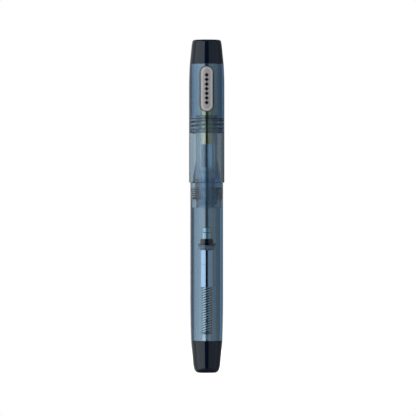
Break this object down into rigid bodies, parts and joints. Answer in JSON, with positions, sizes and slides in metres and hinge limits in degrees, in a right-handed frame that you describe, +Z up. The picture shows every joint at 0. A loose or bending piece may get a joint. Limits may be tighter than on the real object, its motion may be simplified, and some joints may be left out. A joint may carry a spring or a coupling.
{
  "type": "fountain pen",
  "caption": "Capped fountain pen with a clear barrel, a screw-driven piston filler, a rolled gold nib, a screw cap and a curved plate let into the cap.",
  "frame": {"origin": "centre of the flat foot at the end of the filler knob, on the surface that the pen stands on", "axes": "+Z up the pen's axis from the foot to the top of the cap; -Y the side that the name plate faces"},
  "size_m": [0.0144, 0.0144, 0.136],
  "materials": {
    "clear_blue": "polished clear resin with a grey-blue tint",
    "clear_resin": "clear resin, smooth",
    "black_resin": "polished black resin",
    "polished_metal": "polished and bright",
    "steel": "turned and satin",
    "brass": "turned",
    "gold": "polished gold plate",
    "seal_rubber": "smooth soft rubber",
    "silicone": "soft translucent silicone",
    "ring_silicone": "soft smoke-blue silicone",
    "slip_plastic": "smooth and waxy",
    "feed_plastic": "moulded, fine satin",
    "plate_metal": "satin field with a polished rim",
    "enamel": "black enamel"
  },
  "bodies": {
    "pen_body": {"barrel": "clear_blue", "tail_bush": "steel", "thrust_washer": "slip_plastic", "neck_ring": "seal_rubber", "grip_section": "clear_blue", "section_ring": "ring_silicone", "nib_housing": "clear_resin", "housing_ring": "seal_rubber", "feed": "feed_plastic", "nib": "gold", "nib_point": "polished_metal"},
    "knob": {"filler_knob": "black_resin", "knob_insert": "brass", "spindle": "steel"},
    "piston": {"piston_nut": "polished_metal", "piston_ferrule": "polished_metal", "piston_core": "steel", "piston_seal": "seal_rubber", "seal_skirt": "silicone", "seal_clamp_nut": "polished_metal", "piston_tip": "polished_metal"},
    "cap_carrier": {"cap_seal": "seal_rubber"},
    "cap": {"cap_tube": "clear_blue", "cap_finial": "black_resin", "name_plate": "plate_metal", "plate_inlay": "enamel"}
  },
  "joints": [
    {"name": "knob_turn", "type": "hinge", "parent": "pen_body", "child": "knob", "pos_m": [0, 0, 0.0131], "axis": [0, 0, 1], "range_deg": [-618, 556]},
    {"name": "piston_travel", "type": "slide", "parent": "pen_body", "child": "piston", "axis": [0, 0, 1], "range_m": [-0.0063, 0.007]},
    {"name": "cap_lift", "type": "slide", "parent": "pen_body", "child": "cap_carrier", "axis": [0, 0, 1], "range_m": [0, 0.0451]},
    {"name": "cap_turn", "type": "hinge", "parent": "cap_carrier", "child": "cap", "pos_m": [0, 0, 0.1043], "axis": [0, 0, 1], "range_deg": [0, 10150]}
  ],
  "couplings": [
    {"joint": "knob_turn", "follows": "piston_travel", "rad_per_m": -1540},
    {"joint": "cap_turn", "follows": "cap_lift", "rad_per_m": 3927}
  ]
}
